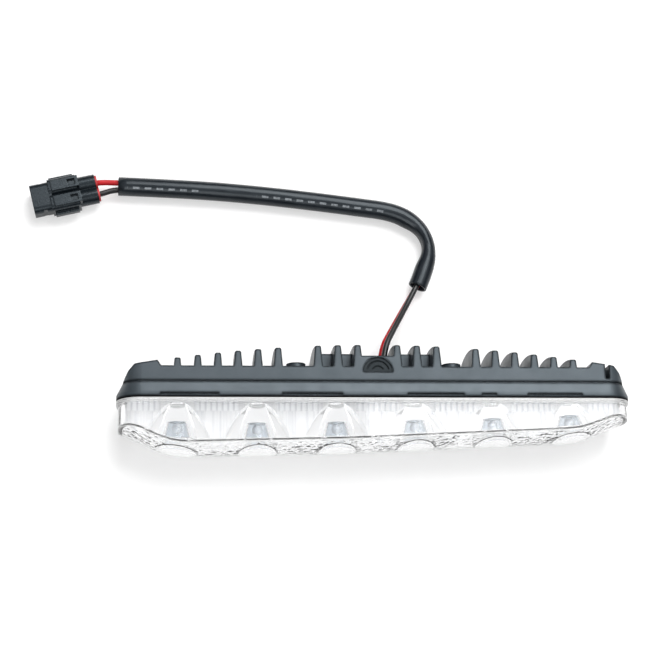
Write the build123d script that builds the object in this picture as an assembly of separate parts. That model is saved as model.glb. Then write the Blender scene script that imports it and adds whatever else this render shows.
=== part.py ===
"""Daytime running light: finned housing, swept clear cover, six optics and a short two-wire lead.

Millimetres. X runs along the lamp, the cover faces -Y, the fins face +Y and Z is up.
The shapes are drawn with the cover's seam at y = 0 and moved to the lamp's own middle at the end.
"""

import math
import os

from build123d import *

# Housing
length = 185.0
height = 24.0
corner_radius = 9.0
rim_depth = 5.4
rim_straight = 1.4
band_inset = 0.5
band_end_inset = 2.2
line_width = 0.6
line_depth = 0.45
valley_y = 10.9
shoulder_inset = 4.3
shoulder_y = 9.3
end_boss_outer_inset = 6.5
end_boss_outer_y = 11.6
end_boss_inner_inset = 14.5
end_boss_inner_y = 12.9
end_boss_foot_inset = 15.8

# Cooling fins
fin_row_inset = 7.3
fin_step_count = 24
fin_numbers = (1, 2, 3, 5, 6, 7, 8, 9, 10)
fin_height = 7.9
fin_base = 3.5
fin_tip = 2.1
fin_tip_radius = 0.7
fin_root = 4.0
row_crown_radius = 500.0
fin_crown_radius = 43.0
web_height = 8.0
web_depth = 6.4

# Mounting bosses
mount_fin_count = 4
mount_boss_diameter = 7.0
mount_boss_depth = 3.4
mount_hole_diameter = 3.3
mount_hole_depth = 6.3

# Cable block and its rubber plug
block_width = 11.8
block_depth = 3.9
plug_radius = 5.3
plug_flat_y = 8.9
plug_bottom_z = 8.5
plug_recess = 0.4
plug_ring_width = 0.5
plug_ring_radii = (1.85, 3.7)
plug_ring_start = 1.0
plug_neck_diameter = 5.0
plug_neck_length = 1.4
wire_hole_x = 2.2
wire_hole_rise = 2.6

# End slot and rim notches
end_slot_inset = 9.1
end_slot_width = 1.5
end_slot_y = 6.8
end_slot_drop = 8.0
notch_shares = ((-0.416, -0.305), (-0.185, -0.069), (0.056, 0.166), (0.2, 0.229), (0.29, 0.398))
notch_y = 0.45
notch_width = 0.6
notch_depth = 0.6

# Cavity, groove and seal
groove_outer = 1.6
groove_depth = 3.6
cavity_inset = 6.0
cavity_end_inset = 12.5
cavity_radius = 2.0
floor_y = 6.0
fit_gap = 0.3

gasket_thickness = 0.6
gasket_inset = 0.15

# Clear cover
lip_depth = 0.9
cover_inset = 0.8
cover_wall = 2.2
tongue_wall = 1.3
tongue_depth = 2.8
cover_bulge = 3.3
edge_over = 5.5
edge_left_y = -4.6
edge_left_corner_inset = 20.0
edge_left_corner_y = -16.2
edge_middle_share = -0.054
edge_middle_y = -14.9
edge_right_corner_inset = 19.5
edge_right_corner_y = -11.2
edge_right_y = -1.9
edge_radii = (26.0, 700.0, 30.0)

# Optics
cell_fin_count = 4
cell_count = 6
cup_focus = 2.65
cup_vertex_y = 1.0
cup_neck_radius = 2.9
cup_neck_back = 1.4
cup_rim_radius = 14.6
cup_wall = 1.0
reflector_gap = 0.5
reflector_inset = 3.6
deck_inset = 8.0
wall_depth = 1.0
rib_reach = 3.8
rib_pitch = 2.0
rib_width = 0.8
rib_height = 0.35
rib_count = 8
cone_front_radius = 7.25
cone_front_gap = 0.7
cone_spigot = 1.4
cone_belly = 0.45
cone_well_radius = 2.0
cone_well_depth = 2.0
dish_back_radius = 2.9
dish_front_radius = 4.4
dish_share = 0.46
bead_radius = 1.8
bead_stem_radius = 1.1
bead_stand = 2.2

# Board and its parts
pad_thickness = 0.5
board_thickness = 1.6
board_gap = 0.3
board_end_gap = 1.0
led_base = 3.5
led_base_thickness = 0.8
led_dome_radius = 1.55
screw_fin_count = 8
screw_diameter = 2.5
screw_head_diameter = 4.6
screw_head_height = 1.5
screw_length = 5.0
screw_socket = 2.2
screw_socket_depth = 0.7
screw_clearance = 0.3
chip_x = 24.5
chip_size = (5.0, 1.5, 4.0)
diode_x = 33.0
diode_size = (4.4, 2.0, 2.6)
resistor_size = (1.6, 0.6, 3.2)
resistor_pitch = 3.0
resistor_count = 4
capacitor_diameter = 5.0
capacitor_height = 2.2

# Lead: points midway between the two wires, from the board to the plug
wire_diameter = 2.1
sleeve_diameter = 7.0
sleeve_wall = 0.6
lead_rest_z = 3.55
wire_clear_y = 18.2
fall_point = (8.6, 30.0, 9.4)
landing_point = (15.4, 42.0, 3.7)
lead_points = (
    (21.0, 52.3),
    (23.0, 60.3),
    (21.0, 68.2),
    (15.4, 74.2),
    (7.7, 77.0),
    (-2.5, 78.2),
    (-16.0, 79.9),
    (-39.0, 82.4),
    (-67.0, 84.5),
)
sleeve_start = (18.5, 46.8)
sleeve_end = (-93.6, 85.2)
wire_offset = 1.17
wire_lean_angles = (66, 66, 75, 85, 100, 115, 133, 145, 155, 163, 171, 180, 180, 180)
bend_share = 0.45
largest_bend = 150.0

# Plug
plug_rear = (-101.7, 83.8)
plug_axis_angle = 193.6
plug_pitch = 5.2
plug_centre_z = 4.4
barrel_diameter = 6.2
barrel_length = 8.5
plug_length = 24.2
body_start = 7.0
body_end = 17.5
body_width = 12.4
body_height = 8.4
lobe_edge = 1.6
rail_width = 14.9
rail_height = 2.2
rail_inset = 0.8
nose_width = 11.6
nose_height = 7.4
nose_edge = 2.2
plate_width = 4.2
plate_rise = 0.5
plate_start = 6.2
plate_end = 16.4
window_width = 2.2
window_length = 2.8
window_inset = 1.2
window_depth = 1.1
seal_diameter = 5.0
seal_depth = 2.6
seal_stand = 0.7
wire_in_plug = 7.6
terminal_diameter = 2.2
terminal_bore = 1.3
terminal_length = 9.0
terminal_recess = 0.6
nose_groove = 0.5
nose_groove_width = 1.4
nose_groove_at = 19.4

os.makedirs("parts", exist_ok=True)

middle_z = height / 2
wire_hole_z = middle_z + wire_hole_rise
groove_inner = groove_outer + 2 * fit_gap + tongue_wall
tongue_inset = groove_outer + fit_gap
tongue_inner = tongue_inset + tongue_wall
lip_back = -gasket_thickness
lip_front = lip_back - lip_depth
half_length = length / 2
band_half_length = half_length - band_end_inset
band_corner_radius = corner_radius - band_end_inset
fin_pitch = (length - 2 * fin_row_inset) / fin_step_count
cell_pitch = cell_fin_count * fin_pitch
cavity_height = height - 2 * cavity_inset
cavity_length = length - 2 * cavity_end_inset
board_height = cavity_height - 2 * board_gap
board_length = cavity_length - 2 * board_end_gap
board_back = floor_y - pad_thickness
board_front = board_back - board_thickness
wall_half_height = middle_z - reflector_inset
deck_half_height = middle_z - deck_inset
cells = [(i - (cell_count - 1) / 2) * cell_pitch for i in range(cell_count)]
mount_x = mount_fin_count * fin_pitch
screw_x = screw_fin_count * fin_pitch
end_slot_x = half_length - end_slot_inset
front_points = [
    (-half_length - edge_over, edge_left_y),
    (edge_left_corner_inset - half_length, edge_left_corner_y),
    (edge_middle_share * length, edge_middle_y),
    (half_length - edge_right_corner_inset, edge_right_corner_y),
    (half_length + edge_over, edge_right_y),
]


def face_plane(x, y, z):
    """A drawing plane that faces +Y."""
    return Plane(origin=(x, y, z), x_dir=(1, 0, 0), z_dir=(0, 1, 0))


def slab(wide, tall, radius, y_from, y_to):
    """A rounded block about the lamp's long axis, between two depths."""
    outline = face_plane(0, y_from, middle_z) * RectangleRounded(wide, tall, radius)
    return extrude(outline, amount=y_to - y_from)


def inset_slab(inset, y_from, y_to):
    """A block with the rim's outline, drawn in by an inset."""
    return slab(length - 2 * inset, height - 2 * inset, corner_radius - inset, y_from, y_to)


def block(x_from, x_to, y_from, y_to, z_from, z_to):
    """A plain block between two corners."""
    centre = ((x_from + x_to) / 2, (y_from + y_to) / 2, (z_from + z_to) / 2)
    return Pos(*centre) * Box(x_to - x_from, y_to - y_from, z_to - z_from)


def rod(radius, x, z, y_from, y_to):
    """A round bar along Y."""
    return extrude(face_plane(x, y_from, z) * Circle(radius), amount=y_to - y_from)


def meet(p, u, q, v):
    """Where two lines in plan cross."""
    t = ((q[0] - p[0]) * v[1] - (q[1] - p[1]) * v[0]) / (u[0] * v[1] - u[1] * v[0])
    return (p[0] + t * u[0], p[1] + t * u[1])


def front_outline(out):
    """The cover's front line in plan, moved outwards."""
    ways = []
    starts = []
    for a, b in zip(front_points, front_points[1:]):
        run = math.dist(a, b)
        way = ((b[0] - a[0]) / run, (b[1] - a[1]) / run)
        ways.append(way)
        starts.append((a[0] + out * way[1], a[1] - out * way[0]))
    moved = [starts[0]]
    for i in range(1, len(ways)):
        moved.append(meet(starts[i - 1], ways[i - 1], starts[i], ways[i]))
    run = math.dist(front_points[-2], front_points[-1])
    moved.append((starts[-1][0] + run * ways[-1][0], starts[-1][1] + run * ways[-1][1]))
    return moved


def front_section(out, z):
    """A level slice of the space behind the cover's front."""
    moved = front_outline(out)
    with BuildSketch(Plane.XY.offset(z)) as sketch:
        with BuildLine():
            front = FilletPolyline(*moved, radius=[r + out for r in edge_radii])
            Polyline(front @ 1, (moved[-1][0], 1), (moved[0][0], 1), front @ 0)
        make_face()
    return sketch.sketch


def front_form(inset, out):
    """The space behind the cover's bulged front, within the rim's outline drawn in."""
    levels = [front_section(out, 0), front_section(out + cover_bulge, middle_z), front_section(out, height)]
    return loft(levels) & inset_slab(inset, -length, lip_front)


def edge_y(x):
    """The cover's front edge in plan at a place along the lamp."""
    for a, b in zip(front_points, front_points[1:]):
        if x <= b[0]:
            break
    return a[1] + (b[1] - a[1]) * (x - a[0]) / (b[0] - a[0])


def cone_front(x):
    """How far forward a cone lens may reach behind the cover's bulged front."""
    sides = max(edge_y(x - cone_front_radius), edge_y(x + cone_front_radius)) - cover_bulge
    top = edge_y(x) - cover_bulge * (1 - (cone_front_radius / middle_z) ** 2)
    return max(sides, top) + cover_wall + cone_front_gap


def tip_y(x):
    """How far back the fin row reaches at the housing's upper and lower faces."""
    return valley_y + fin_height - x * x / (2 * row_crown_radius)


def fin(x):
    """One cooling fin, crowned from its upper to its lower end."""
    half_height = middle_z - band_inset
    rise = fin_crown_radius - math.sqrt(fin_crown_radius**2 - half_height**2)
    top = tip_y(x) + rise
    foot = valley_y - fin_root
    flare = (fin_base - fin_tip) / 2 * (top - foot) / fin_height
    with BuildSketch(Plane.XY.offset(middle_z)) as sketch:
        with BuildLine():
            Polyline(
                (x - fin_tip / 2 - flare, foot),
                (x - fin_tip / 2, top),
                (x + fin_tip / 2, top),
                (x + fin_tip / 2 + flare, foot),
                close=True,
            )
        make_face()
        fillet(sketch.vertices().group_by(Axis.Y)[-1], fin_tip_radius)
    pivot = Axis((x, top - fin_crown_radius, middle_z), (1, 0, 0))
    turn = 2 * math.degrees(math.asin(half_height / (fin_crown_radius - fin_height - fin_root - rise)))
    return revolve(sketch.sketch, pivot, turn).rotate(pivot, -turn / 2)


def band_outline():
    """Plan of the back band with its two end bosses."""
    right = [
        (band_half_length, rim_depth - band_inset),
        (band_half_length, rim_depth),
        (half_length - shoulder_inset, shoulder_y),
        (half_length - end_boss_outer_inset, end_boss_outer_y),
        (half_length - end_boss_inner_inset, end_boss_inner_y),
        (half_length - end_boss_foot_inset, valley_y),
    ]
    left = [(-x, y) for x, y in reversed(right)]
    with BuildSketch() as sketch:
        with BuildLine():
            Polyline(*right, *left, close=True)
        make_face()
    return sketch.sketch


def make_housing():
    """The cast body."""
    band_height = height - 2 * band_inset
    rim_outline = face_plane(0, rim_straight, middle_z) * RectangleRounded(length, height, corner_radius)
    band_face = RectangleRounded(2 * band_half_length, band_height, band_corner_radius)
    rim = inset_slab(0, 0, rim_straight) + loft([rim_outline, face_plane(0, rim_depth, middle_z) * band_face])
    limits = slab(2 * band_half_length, band_height, band_corner_radius, 0, 3 * valley_y)
    back = extrude(band_outline(), amount=height)
    fins = [fin(side * n * fin_pitch) for n in fin_numbers for side in (-1, 1)]
    fin_box = block(-band_half_length, band_half_length, 0, 3 * valley_y, band_inset, height - band_inset)
    body = rim + (back & limits) + [f & fin_box for f in fins]
    web_low = middle_z - web_height / 2
    for side in (-1, 1):
        ends = sorted((side * fin_pitch, side * 3 * fin_pitch))
        body += block(*ends, valley_y - 1, valley_y + web_depth, web_low, web_low + web_height)
        body += rod(mount_boss_diameter / 2, side * mount_x, middle_z, valley_y - 1, valley_y + mount_boss_depth)
    block_back = valley_y + block_depth
    body += block(-block_width / 2, block_width / 2, valley_y - 1, block_back, band_inset, height - band_inset)
    mount_face = valley_y + mount_boss_depth
    for side in (-1, 1):
        body -= rod(mount_hole_diameter / 2, side * mount_x, middle_z, mount_face - mount_hole_depth, mount_face)
        body -= rod(screw_diameter / 2, side * screw_x, middle_z, floor_y, board_front + screw_length)
    body -= plug_form(height)
    body -= rod(plug_neck_diameter / 2, wire_hole_x, wire_hole_z, floor_y, block_back)
    body -= block(
        end_slot_x - end_slot_width / 2,
        end_slot_x + end_slot_width / 2,
        end_slot_y,
        2 * valley_y,
        height - end_slot_drop,
        height,
    )
    line_outer = slab(length, height, corner_radius, rim_depth - line_width / 2, rim_depth + line_width / 2)
    line_wide = 2 * (band_half_length - line_depth)
    line_core = slab(line_wide, band_height - 2 * line_depth, band_corner_radius - line_depth, 0, 2 * rim_depth)
    body -= line_outer - line_core
    for start, end in notch_shares:
        body -= block(start * length, end * length, notch_y, notch_y + notch_width, height - notch_depth, height)
    body -= inset_slab(groove_outer, 0, groove_depth) - inset_slab(groove_inner, 0, groove_depth)
    body -= slab(cavity_length, cavity_height, cavity_radius, 0, floor_y)
    return body


def plug_form(top_z):
    """The half-round space of the rubber plug, up to a level."""
    round_part = Pos(0, plug_flat_y, (plug_bottom_z + top_z) / 2) * Cylinder(plug_radius, top_z - plug_bottom_z)
    keep = block(-plug_radius, plug_radius, plug_flat_y, plug_flat_y + plug_radius, plug_bottom_z, top_z)
    return round_part & keep


def make_plug(wires):
    """The rubber plug that the wires leave through."""
    top = height - band_inset - plug_recess
    body = plug_form(top)
    neck_end = valley_y + block_depth + plug_neck_length
    body += rod(plug_neck_diameter / 2, wire_hole_x, wire_hole_z, floor_y, neck_end)
    ring_low = top - plug_ring_width
    ring_high = top + plug_ring_width
    ring_space = block(-plug_radius, plug_radius, plug_flat_y + plug_ring_start, neck_end, ring_low, ring_high)
    for radius in plug_ring_radii:
        outer = Cylinder(radius + plug_ring_width, 2 * plug_ring_width)
        ring = Pos(0, plug_flat_y, top) * (outer - Cylinder(radius, 2 * plug_ring_width))
        body -= ring & ring_space
    for wire in wires:
        body -= wire
    return body


def make_cover():
    """The clear cover with its lip and the tongue in the housing's groove."""
    shell = front_form(cover_inset, 0) - front_form(cover_inset + cover_wall, -cover_wall)
    lip = inset_slab(0, lip_front, lip_back) - inset_slab(tongue_inner, lip_front, lip_back)
    tongue = inset_slab(tongue_inset, lip_back, tongue_depth) - inset_slab(tongue_inner, lip_back, tongue_depth)
    return shell + lip + tongue


def make_gasket():
    """The flat black ring between the housing's rim and the cover's lip."""
    return inset_slab(gasket_inset, lip_back, 0) - inset_slab(groove_outer, lip_back, 0)


def make_seal():
    """The sealing ring below the cover's tongue."""
    return inset_slab(groove_outer, tongue_depth, groove_depth) - inset_slab(groove_inner, tongue_depth, groove_depth)


def cup(x):
    """The space within one bell cup and its neck."""
    four = 4 * cup_focus
    ends = [(cup_neck_radius, cup_neck_radius), (cup_neck_radius, cup_rim_radius), (cup_rim_radius, cup_rim_radius)]
    points = [(x + (a + b) / 2, cup_vertex_y - a * b / four) for a, b in ends]
    with BuildSketch() as sketch:
        with BuildLine():
            Bezier(*points)
            Polyline(points[-1], (x, points[-1][1]), (x, cup_neck_back), (points[0][0], cup_neck_back), points[0])
        make_face()
    whole = revolve(sketch.sketch, Axis((x, 0, 0), (0, 1, 0)), 360)
    return Pos(0, 0, middle_z) * whole


def rib(x, side):
    """One fine rib, up the back wall and along the deck, above or below the lamp's axis."""
    deck = deck_half_height
    top = wall_half_height
    with BuildSketch(Plane.YZ.offset(x - rib_width / 2)) as sketch:
        with BuildLine():
            Polyline(
                (-rib_reach, middle_z + side * deck),
                (-rib_reach, middle_z + side * (deck + rib_height)),
                (-wall_depth - rib_height, middle_z + side * (deck + rib_height)),
                (-wall_depth - rib_height, middle_z + side * top),
                (-wall_depth, middle_z + side * top),
                (-wall_depth, middle_z + side * deck),
                close=True,
            )
        make_face()
    return extrude(sketch.sketch, amount=rib_width)


def make_reflector():
    """The bright strip: a full-height back wall, a deep deck with six bell cups and fine ribs between them."""
    limits = front_form(cover_inset + cover_wall + reflector_gap, -cover_wall - reflector_gap)
    back_limits = inset_slab(tongue_inner + reflector_gap, lip_front, 0)
    strip = (limits + back_limits) & block(
        -length, length, -length, 0, middle_z - deck_half_height, middle_z + deck_half_height
    )
    strip += back_limits & block(
        -length, length, -wall_depth, 0, middle_z - wall_half_height, middle_z + wall_half_height
    )
    for x in cells:
        strip += rod(cup_neck_radius + cup_wall, x, middle_z, -wall_depth, cup_neck_back)
    for x in [cell + cell_pitch / 2 for cell in cells[:-1]]:
        for i in range(rib_count):
            rib_x = x + (i - (rib_count - 1) / 2) * rib_pitch
            strip += [rib(rib_x, side) for side in (-1, 1)]
    for x in cells:
        strip -= cup(x)
    return strip


def make_cone(x):
    """One clear cone lens with a well for its light and a dish in its front."""
    front = cone_front(x)
    back = cup_neck_back - fit_gap
    start = back - cone_spigot
    dish_floor = front + dish_share * (start - front)
    belly = (cup_neck_radius + cone_front_radius) / 2 + cone_belly
    bead_centre = dish_floor - bead_stand
    stem_front = bead_centre + math.sqrt(bead_radius**2 - bead_stem_radius**2)
    bead_front = bead_centre - bead_radius
    with BuildSketch() as sketch:
        with BuildLine():
            Polyline(
                (0, back - cone_well_depth),
                (cone_well_radius, back - cone_well_depth),
                (cone_well_radius, back),
                (cup_neck_radius, back),
                (cup_neck_radius, start),
            )
            ThreePointArc((cup_neck_radius, start), (belly, (start + front) / 2), (cone_front_radius, front))
            Polyline(
                (cone_front_radius, front),
                (dish_front_radius, front),
                (dish_back_radius, dish_floor),
                (bead_stem_radius, dish_floor),
                (bead_stem_radius, stem_front),
            )
            ThreePointArc((bead_stem_radius, stem_front), (bead_radius, bead_centre), (0, bead_front))
            Line((0, bead_front), (0, back - cone_well_depth))
        make_face()
    return Pos(x, 0, middle_z) * revolve(sketch.sketch, Axis.Y, 360)


def make_led(x):
    """One light: a square base with a round dome."""
    half = led_base / 2
    base_front = board_front - led_base_thickness
    base = block(x - half, x + half, base_front, board_front, middle_z - half, middle_z + half)
    dome = Pos(x, base_front, middle_z) * Sphere(led_dome_radius)
    return base + (dome & block(x - half, x + half, base_front - half, base_front, middle_z - half, middle_z + half))


def make_screw(x):
    """A pan-head screw through the board."""
    head_front = board_front - screw_head_height
    body = rod(screw_head_diameter / 2, x, middle_z, head_front, board_front)
    body += rod(screw_diameter / 2, x, middle_z, board_front, board_front + screw_length)
    socket = face_plane(x, head_front, middle_z) * RegularPolygon(screw_socket / 2, 6)
    return body - extrude(socket, amount=screw_socket_depth)


def sheet(wide, tall, y_from, y_to):
    """A flat sheet in the cavity, pierced for the screws and the wires."""
    body = block(-wide / 2, wide / 2, y_from, y_to, middle_z - tall / 2, middle_z + tall / 2)
    for side in (-1, 1):
        body -= rod(screw_diameter / 2 + screw_clearance, side * screw_x, middle_z, y_from, y_to)
    return body


def on_board(x, size):
    """A small block on the board's front."""
    wide, tall, high = size
    return block(x - wide / 2, x + wide / 2, board_front - tall, board_front, middle_z - high / 2, middle_z + high / 2)


def bend_radii(points):
    """A radius for each turn of a route, from its shorter run."""
    radii = []
    for a, b, c in zip(points, points[1:], points[2:]):
        turn = (b - a).get_angle(c - b)
        run = min((b - a).length, (c - b).length)
        radii.append(min(largest_bend, bend_share * run / math.tan(math.radians(turn / 2))))
    return radii


def tube(points, outer, inner=0.0):
    """A round tube or bar along a route of straight runs and arcs."""
    route = FilletPolyline(*points, radius=bend_radii(points))
    ends = Plane(route @ 0, z_dir=route % 0)
    profile = Circle(outer) - Circle(inner) if inner else Circle(outer)
    return sweep(ends * profile, path=route)


def lead_route():
    """Points midway between the wires, from the board to the sleeve's far end."""
    points = [Vector(wire_hole_x, board_back, wire_hole_z), Vector(wire_hole_x, wire_clear_y, wire_hole_z)]
    points += [Vector(*fall_point), Vector(*landing_point)]
    points += [Vector(x, y, lead_rest_z) for x, y in lead_points]
    return points + [Vector(*sleeve_end, lead_rest_z)]


def plug_place(along, across, z):
    """A point on the plug, from its rear towards its nose."""
    turn = math.radians(plug_axis_angle)
    x = plug_rear[0] + along * math.cos(turn) + across * math.sin(turn)
    y = plug_rear[1] + along * math.sin(turn) - across * math.cos(turn)
    return Vector(x, y, z)


def wire_route(side):
    """The route of one wire: side 1 is the black one and -1 the red one."""
    middle = lead_route()
    points = []
    for i, lean in enumerate(wire_lean_angles):
        near = middle[max(i - 1, 0)]
        far = middle[min(i + 1, len(middle) - 1)]
        way = (far - near).normalized()
        if i < 2:
            way = Vector(0, 1, 0)
        level = way.cross(Vector(0, 0, 1)).normalized()
        upright = level.cross(way)
        lean_turn = math.radians(lean)
        points.append(middle[i] + side * wire_offset * (level * math.cos(lean_turn) + upright * math.sin(lean_turn)))
    across = -side * plug_pitch / 2
    points.append(plug_place(0, across, plug_centre_z))
    points.append(plug_place(wire_in_plug, across, plug_centre_z))
    return points


def plug_block(start, end, wide, low, high):
    """A block of the plug between two places along it, about its own axis."""
    return Pos((start + end) / 2, 0, (low + high) / 2) * Box(end - start, wide, high - low)


def plug_rod(radius, across, start, end):
    """A round bar along the plug."""
    place = Plane(origin=(start, across, plug_centre_z), z_dir=(1, 0, 0))
    return extrude(place * Circle(radius), amount=end - start)


def set_down(shape):
    """Turns and moves a plug piece from its own axes to where the plug lies."""
    return Pos(*plug_rear, 0) * Rot(0, 0, plug_axis_angle) * shape


def make_connector():
    """The two-way plug body."""
    low = plug_centre_z - body_height / 2
    high = plug_centre_z + body_height / 2
    rail_low = plug_centre_z - rail_height / 2
    body = plug_block(body_start + rail_inset, body_end - rail_inset, rail_width, rail_low, rail_low + rail_height)
    nose_low = plug_centre_z - nose_height / 2
    nose = plug_block(body_end - rail_inset, plug_length, nose_width, nose_low, nose_low + nose_height)
    body += fillet(nose.edges().filter_by(Axis.X), nose_edge)
    lobe = plug_block(body_start, body_end, body_width / 2, low, high)
    lobe = fillet(lobe.edges().filter_by(Axis.X), lobe_edge)
    plate_high = high + plate_rise
    plate = plug_block(plate_start, plate_end, plate_width, plug_centre_z, plate_high)
    window_end = plate_start + window_inset + window_length
    window = plug_block(plate_start + window_inset, window_end, window_width, plate_high - window_depth, plate_high)
    for side in (-1, 1):
        body += Pos(0, side * body_width / 4, 0) * (lobe + plate - window)
    for side in (-1, 1):
        body += plug_rod(barrel_diameter / 2, side * plug_pitch / 2, 0, barrel_length)
    for side in (-1, 1):
        across = side * plug_pitch / 2
        body -= plug_rod(seal_diameter / 2, across, 0, seal_depth)
        body -= plug_rod(wire_diameter / 2 + screw_clearance, across, seal_depth, wire_in_plug + fit_gap)
        body -= plug_rod(terminal_diameter / 2, across, plug_length - terminal_length, plug_length)
    groove = plug_block(nose_groove_at, nose_groove_at + nose_groove_width, 2 * nose_width, low, high)
    core = plug_block(0, plug_length, nose_width - 2 * nose_groove, nose_low + nose_groove, high)
    body -= groove - core
    return set_down(body)


def make_seals():
    """The two soft seals at the plug's rear."""
    seals = []
    for side in (-1, 1):
        across = side * plug_pitch / 2
        seal = plug_rod(seal_diameter / 2, across, -seal_stand, seal_depth)
        seals.append(set_down(seal - plug_rod(wire_diameter / 2 + screw_clearance, across, -seal_stand, seal_depth)))
    return Compound(seals)


def make_terminals():
    """The two contact sockets in the plug's nose."""
    start = plug_length - terminal_length
    end = plug_length - terminal_recess
    sockets = []
    for side in (-1, 1):
        across = side * plug_pitch / 2
        socket = plug_rod(terminal_diameter / 2, across, start, end)
        socket -= plug_rod(terminal_bore / 2, across, start + terminal_recess, end)
        sockets.append(set_down(socket))
    return Compound(sockets)


def make_sleeve():
    """The thin tube over both wires."""
    start = Vector(*sleeve_start, lead_rest_z)
    points = [start] + lead_route()[4:]
    return tube(points, sleeve_diameter / 2, sleeve_diameter / 2 - sleeve_wall)


def make_resistors():
    """A row of small resistors."""
    first = -screw_x / 2 - (resistor_count - 1) / 2 * resistor_pitch
    return Compound([on_board(first + i * resistor_pitch, resistor_size) for i in range(resistor_count)])


def build():
    """Makes every piece by name."""
    black = tube(wire_route(1), wire_diameter / 2)
    red = tube(wire_route(-1), wire_diameter / 2)
    pad_hole = rod(plug_neck_diameter / 2, wire_hole_x, wire_hole_z, board_back, floor_y)
    capacitor = rod(capacitor_diameter / 2, 0, middle_z, board_front - capacitor_height, board_front)
    pieces = {
        "housing": make_housing(),
        "lens_cover": make_cover(),
        "lens_seal": make_seal(),
        "rim_gasket": make_gasket(),
        "reflector": make_reflector(),
        "led_board": sheet(board_length, board_height, board_front, board_back),
        "thermal_pad": sheet(board_length, board_height, board_back, floor_y) - pad_hole,
        "board_screws": Compound([make_screw(-screw_x), make_screw(screw_x)]),
        "driver_chip": on_board(chip_x, chip_size),
        "protection_diode": on_board(diode_x, diode_size),
        "resistors": make_resistors(),
        "capacitor": capacitor,
        "cable_grommet": make_plug([black, red]),
        "red_wire": red,
        "black_wire": black,
        "cable_sleeve": make_sleeve(),
        "connector_housing": make_connector(),
        "wire_seals": make_seals(),
        "terminals": make_terminals(),
    }
    for i, x in enumerate(cells, start=1):
        pieces[f"collimator_{i}"] = make_cone(x)
        pieces[f"led_{i}"] = make_led(x)
    return pieces


parts = build()
back_y = parts["housing"].bounding_box().max.Y
front_y = parts["lens_cover"].bounding_box().min.Y
for name, shape in parts.items():
    export_step(Pos(0, -(back_y + front_y) / 2, 0) * shape, f"parts/{name}.step")
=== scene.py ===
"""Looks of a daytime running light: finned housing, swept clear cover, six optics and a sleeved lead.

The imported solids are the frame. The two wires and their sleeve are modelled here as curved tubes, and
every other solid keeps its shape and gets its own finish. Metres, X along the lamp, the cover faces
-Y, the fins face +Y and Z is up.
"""

import logging
import math
from dataclasses import dataclass, field
from enum import Enum

import bmesh
import bpy
from mathutils import Matrix, Vector

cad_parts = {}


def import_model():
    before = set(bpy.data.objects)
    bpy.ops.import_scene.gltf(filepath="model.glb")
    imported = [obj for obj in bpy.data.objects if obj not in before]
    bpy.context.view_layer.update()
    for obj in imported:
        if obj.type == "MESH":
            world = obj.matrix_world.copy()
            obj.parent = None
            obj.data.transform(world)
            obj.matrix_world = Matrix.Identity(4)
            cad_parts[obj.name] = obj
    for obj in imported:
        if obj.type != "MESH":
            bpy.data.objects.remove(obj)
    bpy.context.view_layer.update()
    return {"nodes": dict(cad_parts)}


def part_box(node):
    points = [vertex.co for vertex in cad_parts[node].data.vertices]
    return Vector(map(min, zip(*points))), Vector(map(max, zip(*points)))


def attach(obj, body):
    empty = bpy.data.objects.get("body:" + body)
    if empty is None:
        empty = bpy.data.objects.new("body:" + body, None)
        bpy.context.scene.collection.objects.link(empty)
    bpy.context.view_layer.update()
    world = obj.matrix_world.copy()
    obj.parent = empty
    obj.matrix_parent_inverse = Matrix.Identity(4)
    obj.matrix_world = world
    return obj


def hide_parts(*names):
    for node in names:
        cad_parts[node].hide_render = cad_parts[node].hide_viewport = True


LOG = logging.getLogger("running_light")
BODY = "root"
MM = 0.001

Point = tuple[float, float, float]
Colour = tuple[float, float, float, float]
Span = tuple[float, float]
Socket = bpy.types.NodeSocket

WHITE: Colour = (1.0, 1.0, 1.0, 1.0)
BLUE_SHEEN: Colour = (0.8, 0.92, 1.0, 1.0)
RISE: Span = (0.0, 1.0)
FALL: Span = (1.0, 0.0)
CLOUDY: Span = (0.3, 0.7)
HAZY: Span = (0.35, 0.75)
ON_EDGE: Span = (0.93, 0.998)
EDGE_SAMPLES = 6

LAMP_MIDDLE_Z = 0.012
CUP_HALF_PITCH = 0.0142


class Slot(Enum):
    """The record's material slots of the two wires and the sleeve."""

    RED_WIRE = "red_wire"
    BLACK_WIRE = "black_wire"
    SLEEVE = "sleeve"


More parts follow.
